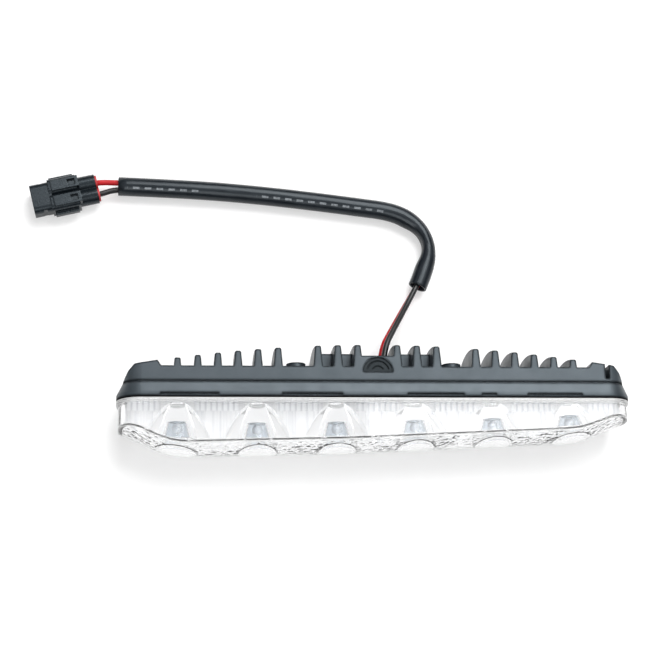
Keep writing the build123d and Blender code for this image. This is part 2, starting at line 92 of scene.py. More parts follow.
class Canvas:
    """A node tree with short calls that add, set and join its nodes."""

    def __init__(self, owner: bpy.types.Material | bpy.types.World) -> None:
        """Starts an empty tree.

        Args:
            owner: The material or world that has the tree.
        """
        owner.use_nodes = True
        self.owner = owner
        self.tree = owner.node_tree
        self.tree.nodes.clear()
        self.coordinates = self.add("ShaderNodeTexCoord").outputs
        self.place = self.coordinates["Object"]

    def add(self, kind: str, **settings: object) -> bpy.types.Node:
        """Adds a node.

        Args:
            kind: The node's type name.
            settings: Properties set on the node.

        Returns:
            The new node.
        """
        node = self.tree.nodes.new(kind)
        for key, value in settings.items():
            setattr(node, key, value)
        return node

    def fill(self, node: bpy.types.Node, values: dict) -> bpy.types.Node:
        """Sets or joins a node's inputs.

        Args:
            node: The node.
            values: Inputs by name or number, each a plain value or a socket to join.

        Returns:
            The same node.
        """
        for key, value in values.items():
            if isinstance(value, Socket):
                self.tree.links.new(value, node.inputs[key])
            else:
                node.inputs[key].default_value = value
        return node

    def axes(self, source: Socket) -> bpy.types.NodeOutputs:
        """Splits a vector into its X, Y and Z."""
        return self.fill(self.add("ShaderNodeSeparateXYZ"), {0: source}).outputs

    def joined(self, x: Socket, y: Socket) -> Socket:
        """Makes a flat vector of two values."""
        return self.fill(self.add("ShaderNodeCombineXYZ"), {0: x, 1: y}).outputs[0]

    def facing(self) -> Socket:
        """The way that the surface faces."""
        return self.add("ShaderNodeNewGeometry").outputs["Normal"]

    def stretched(self, scale: Point, turn: Point = (0, 0, 0)) -> Socket:
        """Object coordinates, turned and then stretched.

        Args:
            scale: A factor for each axis.
            turn: Angles in radians.

        Returns:
            The coordinates' socket.
        """
        mapping = self.add("ShaderNodeMapping", vector_type="POINT")
        self.fill(mapping, {"Vector": self.place, "Scale": scale, "Rotation": turn})
        return mapping.outputs["Vector"]

    def noise(
        self, scale: float, detail: float = 3.0, rough: float = 0.5, at: Socket | None = None
    ) -> Socket:
        """A cloudy pattern.

        Args:
            scale: Waves to the metre.
            detail: Finer layers.
            rough: How strong the finer layers are.
            at: Coordinates other than the plain ones.

        Returns:
            A value about 0.5.
        """
        node = self.add("ShaderNodeTexNoise")
        self.fill(node, {"Vector": at or self.place, "Scale": scale, "Detail": detail, "Roughness": rough})
        return node.outputs["Fac"]

    def clouds(self, scale: float, to: Span, detail: float = 3.0) -> Socket:
        """A cloudy pattern between two values.

        Args:
            scale: Waves to the metre.
            to: The two values.
            detail: Finer layers.

        Returns:
            The pattern's socket.
        """
        return self.span(self.noise(scale, detail), CLOUDY, to)

    def cells(self, scale: float) -> Socket:
        """Distance to the nearest of scattered points, as grains have.

        Args:
            scale: Grains to the metre.

        Returns:
            The distance's socket.
        """
        node = self.add("ShaderNodeTexVoronoi")
        return self.fill(node, {"Vector": self.place, "Scale": scale}).outputs["Distance"]

    def span(self, source: Socket, ends: Span, to: tuple) -> Socket:
        """Maps a value from one span to another, held at the ends.

        Args:
            source: The value.
            ends: Start and end of its span.
            to: The new span, of plain values or sockets.

        Returns:
            The mapped value.
        """
        node = self.add("ShaderNodeMapRange", clamp=True)
        self.fill(node, {"Value": source, "From Min": ends[0], "From Max": ends[1]})
        return self.fill(node, {"To Min": to[0], "To Max": to[1]}).outputs["Result"]

    def math(self, how: str, a: object, b: object = 0.0) -> Socket:
        """One sum of two values.

        Args:
            how: The operation.
            a: A value or socket.
            b: A value or socket.

        Returns:
            The result's socket.
        """
        node = self.add("ShaderNodeMath", operation=how)
        return self.fill(node, {0: a, 1: b}).outputs[0]

    def measure(self, how: str, a: Socket, b: object = (0.0, 0.0, 0.0)) -> Socket:
        """One measure of two vectors.

        Args:
            how: The operation.
            a: A vector's socket.
            b: A vector or its socket.

        Returns:
            The measure's socket.
        """
        node = self.add("ShaderNodeVectorMath", operation=how)
        return self.fill(node, {0: a, 1: b}).outputs["Value"]

    def tint(self, amount: Socket, first: Colour | Socket, second: Colour | Socket) -> Socket:
        """A colour between two.

        Args:
            amount: 0 for the first colour and 1 for the second.
            first: A colour or its socket.
            second: A colour or its socket.

        Returns:
            The colour's socket.
        """
        node = self.add("ShaderNodeMix", data_type="RGBA")
        return self.fill(node, {0: amount, 6: first, 7: second}).outputs[2]

    def softened(self, radius: float) -> Socket:
        """The way the surface faces, with its edges rounded to a radius in metres."""
        return self.fill(self.add("ShaderNodeBevel", samples=EDGE_SAMPLES), {"Radius": radius}).outputs[0]

    def bump(self, height: Socket, depth: float, share: float, over: Socket | None = None) -> Socket:
        """A normal from a height pattern.

        Args:
            height: The pattern.
            depth: Metres from its lowest to its highest value.
            share: Share of the effect.
            over: A normal that it lies over, other than the plain one.

        Returns:
            The normal's socket.
        """
        node = self.add("ShaderNodeBump")
        self.fill(node, {"Height": height, "Distance": depth, "Strength": share})
        if over:
            self.fill(node, {"Normal": over})
        return node.outputs["Normal"]

    def edge_share(self, radius: float) -> Socket:
        """How near a point is to an outer or inner edge.

        Args:
            radius: How far the edges reach, in metres.

        Returns:
            A value of 1 on an edge and 0 away from it.
        """
        return self.span(self.measure("DOT_PRODUCT", self.softened(radius), self.facing()), ON_EDGE, FALL)

    def from_cup(self, x: Socket) -> Socket:
        """How far a place along the lamp is from the middle of the nearest cup."""
        return self.math("PINGPONG", self.math("SUBTRACT", x, CUP_HALF_PITCH), CUP_HALF_PITCH)

    def close(self, shader: bpy.types.Node, output: str = "ShaderNodeOutputMaterial") -> None:
        """Ends the tree in a shader.

        Args:
            shader: The last shader.
            output: Type name of the tree's output node.
        """
        self.fill(self.add(output), {"Surface": shader.outputs[0]})

    def surface(self, **values: object) -> bpy.types.Material:
        """Ends the tree in one shader for all kinds of surface.

        Args:
            values: The shader's inputs, with _ for each space in a name.

        Returns:
            The finished material.
        """
        shader = self.add("ShaderNodeBsdfPrincipled")
        self.close(self.fill(shader, {key.replace("_", " "): value for key, value in values.items()}))
        return self.owner


def finish_canvas(name: str) -> Canvas:
    """An empty canvas on a new material of that name."""
    return Canvas(bpy.data.materials.new(name))


@dataclass(frozen=True)
class PowderCoat:
    """Black powder coat on a casting: fine orange peel, a satin sheen and painted dark shade on its duller
    edges.
    """

    dark: Colour = (0.020, 0.026, 0.031, 1.0)
    pale: Colour = (0.036, 0.043, 0.050, 1.0)
    patch: float = 90.0
    satin: float = 260.0
    rough: Span = (0.34, 0.44)
    shine: float = 0.5
    sheen: Colour = BLUE_SHEEN
    peel: float = 1500.0
    peel_depth: float = 0.00004
    peel_share: float = 0.5
    edge: float = 0.0013
    # painted shade: the near-black colour drawn along the edges as dark outlines
    edge_painted_shade: Colour = (0.004, 0.005, 0.006, 1.0)
    edge_shine: float = 0.1
    edge_rough: float = 0.3

    def make(self, name: str) -> bpy.types.Material:
        """Builds the material.

        Args:
            name: Its name.

        Returns:
            The material.
        """
        canvas = finish_canvas(name)
        shaded_edge_share = canvas.edge_share(self.edge)
        coat = canvas.tint(canvas.clouds(self.patch, RISE, detail=4.0), self.dark, self.pale)
        satin = canvas.clouds(self.satin, self.rough)
        peel = canvas.noise(self.peel, detail=2.0, rough=0.6)
        return canvas.surface(
            # painted shade: the base colour turns near-black along the edges
            Base_Color=canvas.tint(shaded_edge_share, coat, self.edge_painted_shade),
            Specular_IOR_Level=canvas.span(shaded_edge_share, RISE, (self.shine, self.edge_shine)),
            Specular_Tint=self.sheen,
            Roughness=canvas.math("ADD", satin, canvas.math("MULTIPLY", shaded_edge_share, self.edge_rough)),
            Normal=canvas.bump(peel, self.peel_depth, self.peel_share, canvas.softened(self.edge)),
        )


@dataclass(frozen=True)
class ClearPlastic:
    """Clear moulded plastic with faint flow waves.

    Its front is faceted, with a plain round window before each cone, and its edges are less clear as a
    painted highlight.
    """

    tone: Colour = (0.993, 0.996, 1.0, 1.0)
    ior: float = 1.52
    haze: float = 320.0
    rough: Span = (0.0, 0.03)
    wave: float = 55.0
    wave_depth: float = 0.00008
    wave_share: float = 0.35
    edge: float = 0.0011
    # painted highlight: share of clearness kept on the edges, which show pale white
    edge_highlight_clear: float = 0.35
    front: Span = (0.35, 0.55)
    window: Span = (0.0068, 0.0073)
    facet: float = 650.0
    facet_base: float = 0.5
    facet_depth: float = 0.0004
    facet_share: float = 0.4
    patch: float = 75.0
    patch_ends: Span = (0.42, 0.62)
    patch_share: Span = (0.3, 1.0)

    def make(self, name: str) -> bpy.types.Material:
        """Builds the material.

        Args:
            name: Its name.

        Returns:
            The material.
        """
        canvas = finish_canvas(name)
        ahead = canvas.math("ABSOLUTE", canvas.axes(canvas.facing())["Y"])
        place = canvas.axes(canvas.place)
        rise = canvas.math("SUBTRACT", place["Z"], LAMP_MIDDLE_Z)
        from_axis = canvas.measure("LENGTH", canvas.joined(canvas.from_cup(place["X"]), rise))
        patchy = canvas.span(canvas.noise(self.patch, detail=1.0), self.patch_ends, self.patch_share)
        facets = canvas.math("MULTIPLY", canvas.cells(self.facet), patchy)
        relief = canvas.math("ADD", self.facet_base, facets)
        for share in (
            canvas.span(from_axis, self.window, RISE),
            canvas.span(ahead, self.front, RISE),
        ):
            relief = canvas.math("MULTIPLY", share, relief)
        faceted = canvas.bump(relief, self.facet_depth, self.facet_share)
        waves = canvas.noise(self.wave, detail=1.0, rough=0.4)
        return canvas.surface(
            Base_Color=self.tone,
            IOR=self.ior,
            # painted highlight: the edges turn partly white and opaque so that they look lit
            Transmission_Weight=canvas.span(canvas.edge_share(self.edge), RISE, (1.0, self.edge_highlight_clear)),
            Roughness=canvas.span(canvas.noise(self.haze), HAZY, self.rough),
            Normal=canvas.bump(waves, self.wave_depth, self.wave_share, faceted),
        )


@dataclass(frozen=True)
class ConePlastic:
    """Clear plastic of one cone, with painted grey shade in its dish and a frosted bead in it."""

    tone: Colour = (0.997, 0.998, 1.0, 1.0)
    # painted shade: the grey that the clear dish shows in its recess
    dish: Colour = (0.62, 0.67, 0.72, 1.0)
    frost: Colour = (0.99, 0.995, 1.0, 1.0)
    ior: float = 1.22
    haze: float = 500.0
    rough: Span = (0.0, 0.04)
    frost_rough: float = 0.4
    dish_radius: Span = (0.0045, 0.0046)
    dish_step: Span = (0.00005, 0.0001)
    bead_radius: Span = (0.001854, 0.001944)
    ripple: float = 90.0
    ripple_depth: float = 0.00003
    ripple_share: float = 0.35
    edge: float = 0.0003

    def make(self, name: str, bead: Vector, dish_floor: float) -> bpy.types.Material:
        """Builds the material.

        Args:
            name: Its name.
            bead: The bead's centre.
            dish_floor: Where the dish ends, along Y.

        Returns:
            The material.
        """
        canvas = finish_canvas(name)
        frosted = canvas.span(canvas.measure("DISTANCE", canvas.place, bead), self.bead_radius, FALL)
        off_axis = canvas.measure("DISTANCE", canvas.stretched((1, 0, 1)), (bead.x, 0.0, bead.z))
        near_axis = canvas.span(off_axis, self.dish_radius, FALL)
        floor = (dish_floor + self.dish_step[0], dish_floor + self.dish_step[1])
        in_dish = canvas.span(canvas.axes(canvas.place)["Y"], floor, FALL)
        # painted shade: the clear plastic is tinted grey inside the dish
        body = canvas.tint(canvas.math("MULTIPLY", near_axis, in_dish), self.tone, self.dish)
        haze = canvas.span(canvas.noise(self.haze, detail=2.0), HAZY, self.rough)
        ripple = canvas.noise(self.ripple, detail=1.0, rough=0.4)
        return canvas.surface(
            Base_Color=canvas.tint(frosted, body, self.frost),
            IOR=self.ior,
            Transmission_Weight=canvas.span(frosted, RISE, FALL),
            Roughness=canvas.math("ADD", haze, canvas.math("MULTIPLY", frosted, self.frost_rough)),
            Normal=canvas.bump(ripple, self.ripple_depth, self.ripple_share, canvas.softened(self.edge)),
        )


@dataclass(frozen=True)
class BrightCoating:
    """Bright metal film on a moulded strip, with painted light in its cups and painted rib shading between
    them.
    """

    deck: Colour = (0.78, 0.785, 0.79, 1.0)
    streak: Colour = (0.58, 0.59, 0.61, 1.0)
    # painted light: the cups are whiter than the deck to make up for the shade in their recess
    cup: Colour = (0.99, 0.992, 0.995, 1.0)
    # painted light and shade: pale rib faces and darker grooves of ribs drawn only in colour
    ribbed: Colour = (0.88, 0.89, 0.90, 1.0)
    rib_groove_shade: Colour = (0.68, 0.69, 0.71, 1.0)
    metal: Span = (0.2, 1.0)
    rough: Span = (0.38, 0.14)
    cloud: float = 140.0
    cloud_rough: Span = (0.0, 0.12)
    streaks: Point = (900, 20, 20)
    streak_ends: Span = (0.45, 0.75)
    deck_half: Span = (0.0038, 0.0039)
    rib_half_pitch: float = 0.001
    rib_side: Span = (0.0005, 0.0008)
    ribbed_from: Span = (0.0055, 0.0075)
    ribbed_back: Span = (-0.0047, -0.0041)
    grain: float = 900.0
    grain_depth: float = 0.00002
    grain_share: float = 0.3

    def make(self, name: str) -> bpy.types.Material:
        """Builds the material.

        Args:
            name: Its name.

        Returns:
            The material.
        """
        canvas = finish_canvas(name)
        place = canvas.axes(canvas.place)
        off_middle = canvas.math("ABSOLUTE", canvas.math("SUBTRACT", place["Z"], LAMP_MIDDLE_Z))
        in_cup = canvas.span(off_middle, self.deck_half, FALL)
        drawn = canvas.noise(1.0, detail=2.0, rough=0.6, at=canvas.stretched(self.streaks))
        deck = canvas.tint(canvas.span(drawn, self.streak_ends, RISE), self.deck, self.streak)
        # painted light: the film is whiter in the cups, where they lie in shade
        film = canvas.tint(in_cup, deck, self.cup)
        rib = canvas.math("PINGPONG", place["X"], self.rib_half_pitch)
        # painted light and shade of ribs: pale faces, dark grooves
        strip = canvas.tint(canvas.span(rib, self.rib_side, RISE), self.ribbed, self.rib_groove_shade)
        between = canvas.span(canvas.from_cup(place["X"]), self.ribbed_from, RISE)
        behind = canvas.span(place["Y"], self.ribbed_back, RISE)
        cloud = canvas.clouds(self.cloud, self.cloud_rough, detail=4.0)
        return canvas.surface(
            Base_Color=canvas.tint(canvas.math("MULTIPLY", between, behind), film, strip),
            Metallic=canvas.span(in_cup, RISE, self.metal),
            Roughness=canvas.math("ADD", cloud, canvas.span(in_cup, RISE, self.rough)),
            Normal=canvas.bump(canvas.noise(self.grain, detail=2.0), self.grain_depth, self.grain_share),
        )


@dataclass(frozen=True)
class Moulded:
    """A coloured plastic, rubber or small metal piece with grain, cloudiness and a satin gloss."""

    dark: Colour
    pale: Colour
    rough: Span
    metallic: float = 0.0
    shine: float = 0.5
    sheen: Colour = WHITE
    edge: float = 0.0
    cloud: float = 180.0
    satin: float = 600.0
    grain: float = 2200.0
    grain_depth: float = 0.00003
    grain_share: float = 0.5

    def make(self, name: str) -> bpy.types.Material:
        """Builds the material.

        Args:
            name: Its name.

        Returns:
            The material.
        """
        canvas = finish_canvas(name)
        grain = canvas.noise(self.grain, detail=2.0)
        softened = canvas.softened(self.edge) if self.edge else None
        return canvas.surface(
            Base_Color=canvas.tint(canvas.clouds(self.cloud, RISE, detail=4.0), self.dark, self.pale),
            Metallic=self.metallic,
            Specular_IOR_Level=self.shine,
            Specular_Tint=self.sheen,
            Roughness=canvas.clouds(self.satin, self.rough),
            Normal=canvas.bump(grain, self.grain_depth, self.grain_share, softened),
        )


@dataclass(frozen=True)
class FacedRubber:
    """Black foam rubber with a pale film on the side that faces the cover."""

    dark: Colour = (0.002, 0.002, 0.002, 1.0)
    pale: Colour = (0.005, 0.005, 0.005, 1.0)
    film: Colour = (0.8, 0.81, 0.82, 1.0)
    film_side: Span = (-0.8, -0.6)
    rough: Span = (0.8, 0.92)
    shine: float = 0.1
    foam: float = 2400.0
    foam_depth: float = 0.00003
    foam_share: float = 0.5

    def make(self, name: str) -> bpy.types.Material:
        """Builds the material.

        Args:
            name: Its name.

        Returns:
            The material.
        """
        canvas = finish_canvas(name)
        foam = canvas.noise(self.foam, detail=2.0)
        rubber = canvas.tint(canvas.span(foam, CLOUDY, RISE), self.dark, self.pale)
        to_cover = canvas.span(canvas.axes(canvas.facing())["Y"], self.film_side, FALL)
        return canvas.surface(
            Base_Color=canvas.tint(to_cover, rubber, self.film),
            Roughness=canvas.span(foam, CLOUDY, self.rough),
            Specular_IOR_Level=self.shine,
            Normal=canvas.bump(foam, self.foam_depth, self.foam_share),
        )


@dataclass(frozen=True)
class PrintedBoard:
    """White board lacquer over copper tracks."""

    lacquer: Colour = (0.82, 0.83, 0.82, 1.0)
    over_track: Colour = (0.72, 0.74, 0.72, 1.0)
    rough: Span = (0.32, 0.46)
    satin: float = 500.0
    track_pitch: float = 95.0
    track_gap: float = 0.07
    track_shift: float = 0.35
    track_depth: float = 0.00004
    track_share: float = 0.6

    def make(self, name: str) -> bpy.types.Material:
        """Builds the material.

        Args:
            name: Its name.

        Returns:
            The material.
        """
        canvas = finish_canvas(name)
        tracks = canvas.add("ShaderNodeTexBrick", offset=self.track_shift)
        upright = canvas.stretched((1, 1, 1), (math.pi / 2, 0, 0))
        canvas.fill(tracks, {"Vector": upright, "Scale": self.track_pitch, "Mortar Size": self.track_gap})
        gaps = tracks.outputs["Fac"]
        return canvas.surface(
            Base_Color=canvas.tint(gaps, self.over_track, self.lacquer),
            Roughness=canvas.clouds(self.satin, self.rough),
            Normal=canvas.bump(gaps, self.track_depth, self.track_share),
        )


@dataclass(frozen=True)
class LightDome:
    """Milky silicone over a light's die: warm at its middle and white at its base."""

    base: Colour = (0.86, 0.86, 0.84, 1.0)
    glow: Colour = (0.95, 0.88, 0.5, 1.0)
    die: Span = (0.0006, 0.0013)
    cloud: float = 1500.0
    cloud_share: Span = (0.85, 1.0)
    satin: float = 900.0
    rough: Span = (0.18, 0.28)
    grain: float = 1800.0
    grain_depth: float = 0.00002
    grain_share: float = 0.3

    def make(self, name: str, x: float) -> bpy.types.Material:
        """Builds the material for one light.

        Args:
            name: Its name.
            x: The light's place along the lamp.

        Returns:
            The material.
        """
        canvas = finish_canvas(name)
        off_axis = canvas.measure("DISTANCE", canvas.stretched((1, 0, 1)), (x, 0.0, LAMP_MIDDLE_Z))
        cloud = canvas.clouds(self.cloud, self.cloud_share)
        warm = canvas.math("MULTIPLY", canvas.span(off_axis, self.die, FALL), cloud)
        return canvas.surface(
            Base_Color=canvas.tint(warm, self.base, self.glow),
            Roughness=canvas.clouds(self.satin, self.rough),
            Normal=canvas.bump(canvas.noise(self.grain), self.grain_depth, self.grain_share),
        )


@dataclass(frozen=True)
class SleeveVinyl:
    """Glossy dark vinyl with drawn-out flow lines, a row of pale dashes and creases at its bend."""

    dark: Colour = (0.006, 0.008, 0.011, 1.0)
    pale: Colour = (0.012, 0.015, 0.019, 1.0)
    ink: Colour = (0.19, 0.205, 0.22, 1.0)
    sheen: Colour = (0.86, 0.95, 1.0, 1.0)
    shine: float = 0.26
    rough: Span = (0.22, 0.32)
    cloud: float = 160.0
    dash_turn: float = -0.07
    dash_side: Span = (0.016, 0.02)
    dash_pitch: float = 0.0044
    dash_end: Span = (0.54, 0.58)
    printed: tuple[Span, ...] = ((0.0396, 0.088), (0.11, 0.1364))
    print_step: float = 0.0001
    wear: float = 1400.0
    wear_ends: Span = (0.35, 0.55)
    wear_share: Span = (0.45, 1.0)
    flow: Span = (60.0, 26.0)
    flow_depth: float = 0.00012
    flow_share: float = 0.4
    crease: Span = (190.0, 9.0)
    crease_at: float = 0.021
    crease_reach: Span = (0.0048, 0.012)
    crease_depth: float = 0.0005
    crease_share: float = 0.6

    def make(self, name: str) -> bpy.types.Material:
        """Builds the material, which reads the tube's own along and turn values.

        Args:
            name: Its name.

        Returns:
            The material.
        """
        canvas = finish_canvas(name)
        along = canvas.add("ShaderNodeAttribute", attribute_name="along").outputs["Fac"]
        turn = canvas.add("ShaderNodeAttribute", attribute_name="turn").outputs["Fac"]
        worn = canvas.span(canvas.noise(self.wear), self.wear_ends, self.wear_share)
        ink = canvas.math("MULTIPLY", self._dashes(canvas, along, turn), worn)
        vinyl = canvas.tint(canvas.clouds(self.cloud, RISE), self.dark, self.pale)
        flow, folds = (
            canvas.joined(canvas.math("MULTIPLY", along, length), canvas.math("MULTIPLY", turn, width))
            for length, width in (self.flow, self.crease)
        )
        drawn = canvas.noise(1.0, detail=2.0, at=flow)
        from_bend = canvas.math("ABSOLUTE", canvas.math("SUBTRACT", along, self.crease_at))
        bent = canvas.span(from_bend, self.crease_reach, FALL)
        creases = canvas.math("MULTIPLY", canvas.noise(1.0, detail=1.0, rough=0.4, at=folds), bent)
        creased = canvas.bump(creases, self.crease_depth, self.crease_share)
        return canvas.surface(
            Base_Color=canvas.tint(ink, vinyl, self.ink),
            Roughness=canvas.span(drawn, CLOUDY, self.rough),
            Specular_IOR_Level=self.shine,
            Specular_Tint=self.sheen,
            Normal=canvas.bump(drawn, self.flow_depth, self.flow_share, creased),
        )

    def _dashes(self, canvas: Canvas, along: Socket, turn: Socket) -> Socket:
        """Where the dashes are.

        Args:
            canvas: The tree that they go into.
            along: Distance along the tube.
            turn: Share of a turn round it.

        Returns:
            A value of 1 on a dash and 0 off it.
        """
        off_row = canvas.math("ABSOLUTE", canvas.math("SUBTRACT", turn, self.dash_turn))
        step = canvas.math("FRACT", canvas.math("DIVIDE", along, self.dash_pitch))
        in_row = canvas.span(off_row, self.dash_side, FALL)
        in_dash = canvas.span(step, self.dash_end, FALL)
        groups = 0.0
        for start, end in self.printed:
            after = canvas.span(along, (start, start + self.print_step), RISE)
            before = canvas.span(along, (end, end + self.print_step), FALL)
            groups = canvas.math("ADD", canvas.math("MULTIPLY", after, before), groups)
        return canvas.math("MULTIPLY", canvas.math("MULTIPLY", in_row, in_dash), groups)


class CordCurve:
    """A smooth line along a route's control points."""

    LINE_STEPS = 14
    SECTION_STEPS = 7

    def __init__(self, name: str, route: tuple[Point, ...]) -> None:
        """Starts a curve.

        Args:
            name: The object's name.
            route: Control points in millimetres, in the lamp's frame.
        """
        self.data = bpy.data.curves.new(name, "CURVE")
        self.data.dimensions = "3D"
        self.data.resolution_u = self.LINE_STEPS
        spline = self.data.splines.new("NURBS")
        spline.points.add(len(route) - 1)
        for point, place in zip(spline.points, route):
            point.co = (place[0] * MM, place[1] * MM, place[2] * MM, 1.0)
        spline.order_u = 3
        spline.use_endpoint_u = True
        self.object = bpy.data.objects.new(name, self.data)
        bpy.context.scene.collection.objects.link(self.object)

    def thicken(self, diameter: float, caps: bool) -> bpy.types.Object:
        """Gives the line a round section.

        Args:
            diameter: In metres.
            caps: Whether its ends are closed.

        Returns:
            The curve's object.
        """
        self.data.bevel_depth = diameter / 2
        self.data.bevel_resolution = self.SECTION_STEPS
        self.data.use_fill_caps = caps
        return self.object

    def mesh(self) -> bpy.types.Mesh:
        """The curve as a mesh, as it now is."""
        graph = bpy.context.evaluated_depsgraph_get()
        return bpy.data.meshes.new_from_object(self.object.evaluated_get(graph))


@dataclass
class Wire:
    """One insulated wire from the board, through the rubber plug, to the connector."""

    name: str
    node: str
    slot: Slot
    finish: Moulded
    route: tuple[Point, ...]
    length: float
    diameter: float = 0.0021

    def build(self) -> bpy.types.Object:
        """Makes the wire's curve.

        Returns:
            Its object.
        """
        wire = CordCurve(self.name, self.route).thicken(self.diameter, True)
        wire.data.materials.append(self.finish.make(f"{self.name}_insulation"))
        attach(wire, BODY)
        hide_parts(self.node)
        return wire

    def declare(self, wire: bpy.types.Object, far_pieces: list) -> None:
        """Does nothing.

        Args:
            wire: Its object; not used.
            far_pieces: What is on its far end; not used.
        """


@dataclass
class Sleeve:
    """The thin vinyl tube over both wires, pressed a little flat where it turns."""

    route: tuple[Point, ...]
    kink_at: Point
    name: str = "cable_sleeve_tube"
    node: str = "cable_sleeve"
    length: float = 0.140
    diameter: float = 0.007
    wall: float = 0.0006
    kink_reach: float = 0.012
    kink_depth: float = 0.0023
    seam: float = 1e-6

    def build(self) -> bpy.types.Object:
        """Makes the tube, with its distance along and its turn kept at each point.

        Returns:
            Its object.
        """
        curve = CordCurve(f"{self.name}_line", self.route)
        line = [v.co.copy() for v in curve.mesh().vertices]
        curve.thicken(self.diameter, False)
        mesh = curve.mesh()
        bpy.data.objects.remove(curve.object)
        mesh.name = self.name
        self._shape(mesh, line)
        tube = bpy.data.objects.new(self.name, mesh)
        bpy.context.scene.collection.objects.link(tube)
        mesh.materials.clear()
        mesh.materials.append(SleeveVinyl().make("sleeve_vinyl"))
        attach(tube, BODY)
        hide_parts(self.node)
        return tube

    def _shape(self, mesh: bpy.types.Mesh, line: list) -> None:
        """Presses the bend, stores the surface values and gives the wall its thickness.

        Args:
            mesh: The open tube.
            line: Its centre line.
        """
        travelled = [0.0]
        for a, b in zip(line, line[1:]):
            travelled.append(travelled[-1] + (b - a).length)
        shape = bmesh.new()
        shape.from_mesh(mesh)
        bmesh.ops.remove_doubles(shape, verts=shape.verts, dist=self.seam)
        along = shape.verts.layers.float.new("along")
        turn = shape.verts.layers.float.new("turn")
        kink = Vector(self.kink_at) * MM
        for vert in shape.verts:
            nearest = min(range(len(line)), key=lambda i: (line[i] - vert.co).length_squared)
            ahead = line[min(nearest + 1, len(line) - 1)] - line[max(nearest - 1, 0)]
            side = ahead.cross(Vector((0, 0, 1))).normalized()
            off = vert.co - line[nearest]
            vert[along] = travelled[nearest]
            vert[turn] = math.atan2(off.dot(side), off.z) / math.tau
            near = max(0.0, 1.0 - (line[nearest] - kink).length / self.kink_reach)
            press = near * near * (3 - 2 * near)
            inward = max(0.0, -off.normalized().dot(side))
            vert.co -= off.normalized() * self.kink_depth * press * inward
        bmesh.ops.recalc_face_normals(shape, faces=shape.faces)
        bmesh.ops.solidify(shape, geom=shape.faces[:], thickness=self.wall)
        for face in shape.faces:
            face.smooth = True
        shape.to_mesh(mesh)
        shape.free()


@dataclass
class Lead:
    """The two wires and their sleeve, with routes in millimetres."""

    pieces_on_end: tuple[str, ...] = ("connector_housing", "wire_seals", "terminals")
    black_length: float = 0.202
    black_finish: Moulded = Moulded(
        (0.004, 0.004, 0.005, 1.0), (0.009, 0.009, 0.010, 1.0), (0.3, 0.42), shine=0.35
    )
    black_route: tuple[Point, ...] = (
        (2.68, 5.03, 15.67),
        (2.68, 17.73, 15.67),
        (9.07, 29.75, 10.45),
        (15.62, 41.71, 4.84),
        (20.82, 51.92, 4.7),
        (23.8, 59.83, 4.65),
        (21.6, 68.4, 4.65),
        (14.87, 72.93, 4.5),
        (7.47, 75.5, 4.04),
        (-2.64, 76.62, 3.89),
        (-16.13, 78.28, 3.73),
        (-39.11, 80.77, 3.55),
        (-67.06, 82.86, 3.55),
        (-93.63, 83.9, 3.6),
        (-101.09, 80.81, 4.4),
        (-108.48, 79.02, 4.4),
    )
    red_length: float = 0.205
    red_finish: Moulded = Moulded(
        (0.34, 0.004, 0.008, 1.0), (0.44, 0.007, 0.011, 1.0), (0.42, 0.52), shine=0.25
    )
    red_route: tuple[Point, ...] = (
        (1.72, 5.03, 13.53),
        (1.72, 17.73, 13.53),
        (8.13, 29.31, 8.35),
        (15.18, 41.35, 2.56),
        (21.18, 51.75, 2.4),
        (23.8, 59.83, 2.45),
        (21.7, 68.5, 2.45),
        (15.93, 74.53, 2.6),
        (7.93, 77.57, 3.06),
        (-2.36, 78.84, 3.21),
        (-15.87, 80.58, 3.37),
        (-38.89, 83.1, 3.55),
        (-66.94, 85.2, 3.55),
        (-93.57, 86.15, 3.55),
        (-102.31, 85.86, 4.4),
        (-109.7, 84.07, 4.4),
    )
    sleeve_kink: Point = (21.6, 64.5, 3.55)
    sleeve_route: tuple[Point, ...] = (
        (18.5, 46.33, 3.55),
        (21.0, 51.83, 3.55),
        (23.0, 59.83, 3.55),
        (21.0, 67.73, 3.55),
        (15.4, 73.73, 3.55),
        (7.7, 76.53, 3.55),
        (-2.5, 77.73, 3.55),
        (-16.0, 79.43, 3.55),
        (-39.0, 81.93, 3.55),
        (-67.0, 84.03, 3.55),
        (-93.6, 84.73, 3.55),
    )

    def build(self, nodes: dict) -> None:
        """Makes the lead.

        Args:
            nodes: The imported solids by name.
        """
        ends = [nodes[n] for n in self.pieces_on_end]
        black = Wire(
            "black_lead_wire",
            "black_wire",
            Slot.BLACK_WIRE,
            self.black_finish,
            self.black_route,
            self.black_length,
        )
        red = Wire(
            "red_lead_wire", "red_wire", Slot.RED_WIRE, self.red_finish, self.red_route, self.red_length
        )
        for wire in (black, red):
            wire.declare(wire.build(), ends)
            LOG.info("wire %s", wire.name)
        sleeve = Sleeve(self.sleeve_route, self.sleeve_kink)
        LOG.info("sleeve %s", sleeve.build().name)


